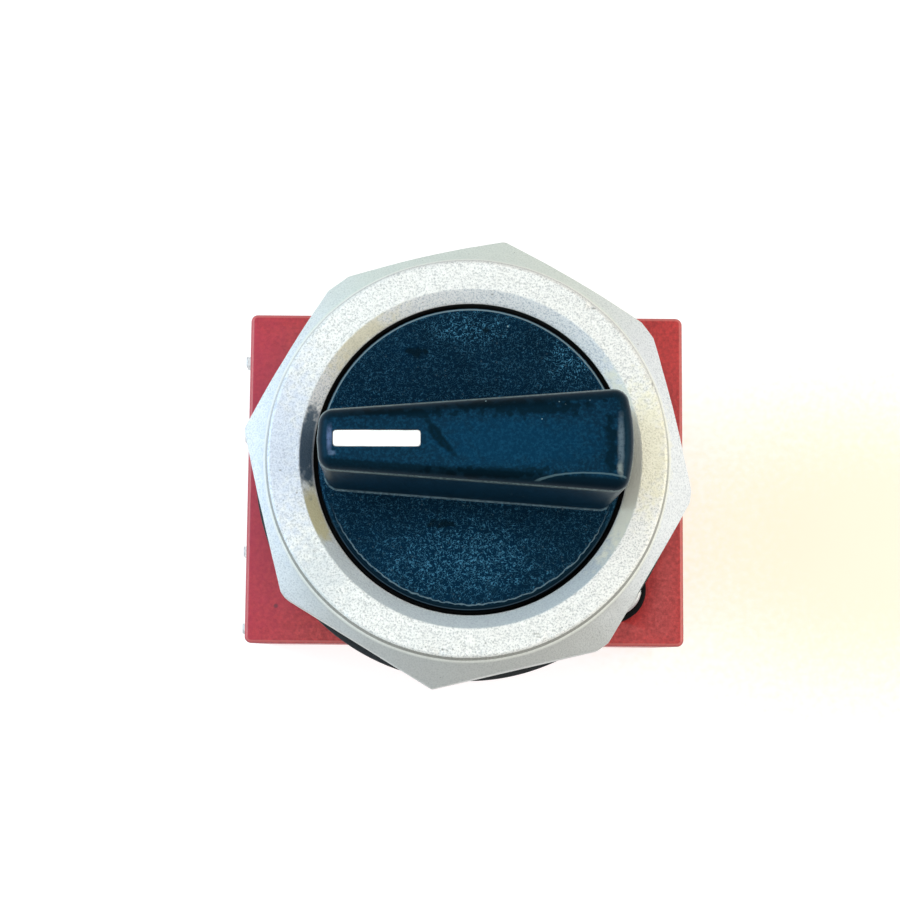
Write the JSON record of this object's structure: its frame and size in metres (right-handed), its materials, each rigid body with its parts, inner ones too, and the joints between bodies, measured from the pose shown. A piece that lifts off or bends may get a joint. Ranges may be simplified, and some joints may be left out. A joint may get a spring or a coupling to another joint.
{
  "type": "selector switch",
  "caption": "Heavy-duty rotary selector switch: black lever knob with white pointer, octagonal ring nut and a red screw-terminal contact block behind.",
  "frame": {"origin": "on the turning axis, in the plane of the contact block's rear face, on which the part rests", "axes": "+Z along the turning axis towards the front of the panel, X along the block's long side with the knob's pointer towards -X, Y across the block"},
  "size_m": [0.0488, 0.0442, 0.0545],
  "materials": {
    "red_moulding": "dull red compression moulding, slightly mottled",
    "black_casting": "black finished zinc casting",
    "cast_ring": "fine sandy bead-blasted casting with small nicks",
    "plated_steel": "bright zinc plate, dulled",
    "spring_steel": "bare drawn spring steel",
    "brass_strip": "plain stamped brass",
    "contact_silver": "satin silver alloy",
    "black_rubber": "matt black rubber",
    "knob_moulding": "dark blue-black moulding, sandy disk and smoother handle",
    "white_bar": "white moulded bar",
    "black_nylon": "black nylon",
    "ivory_nylon": "natural nylon"
  },
  "bodies": {
    "base": {"contact_housing": "red_moulding", "rear_cover": "red_moulding", "cover_screws": "plated_steel", "fixed_contact_left_a": "brass_strip", "fixed_contact_right_a": "brass_strip", "fixed_contact_left_b": "brass_strip", "fixed_contact_right_b": "brass_strip", "fixed_buttons": "contact_silver", "wire_clamps": "plated_steel", "terminal_screws": "plated_steel", "return_spring_a": "spring_steel", "return_spring_b": "spring_steel", "operator_body": "black_casting", "guide_plate": "ivory_nylon", "body_inserts": "brass_strip", "body_screws": "plated_steel", "mounting_ring": "cast_ring", "slip_washer": "plated_steel", "front_gasket": "black_rubber", "shaft_seal": "black_rubber", "detent_spring": "spring_steel"},
    "selector": {"knob": "knob_moulding", "pointer_bar": "white_bar", "knob_insert": "brass_strip", "selector_shaft": "plated_steel", "knob_screw": "plated_steel", "cam": "black_nylon", "detent_wheel": "spring_steel"},
    "contact_a": {"plunger_a": "ivory_nylon", "bridge_a": "brass_strip", "bridge_buttons_a": "contact_silver", "contact_spring_a": "spring_steel", "follower_a": "black_nylon"},
    "contact_b": {"plunger_b": "ivory_nylon", "bridge_b": "brass_strip", "bridge_buttons_b": "contact_silver", "contact_spring_b": "spring_steel", "follower_b": "black_nylon"}
  },
  "joints": [
    {"name": "knob_turn", "type": "hinge", "parent": "base", "child": "selector", "pos_m": [0, 0, 0.0332], "axis": [0, 0, 1], "range_deg": [-45, 45], "deforming": ["detent_spring"]},
    {"name": "plunger_a_slide", "type": "slide", "parent": "base", "child": "contact_a", "axis": [0, 0, 1], "range_m": [-0.00125, 0.00125], "deforming": ["return_spring_a"]},
    {"name": "plunger_b_slide", "type": "slide", "parent": "base", "child": "contact_b", "axis": [0, 0, 1], "range_m": [-0.00125, 0.00125], "deforming": ["return_spring_b"]}
  ],
  "couplings": [
    {"joint": "plunger_a_slide", "follows": "knob_turn", "m_per_rad": 0.00159},
    {"joint": "plunger_b_slide", "follows": "knob_turn", "m_per_rad": -0.00159}
  ]
}
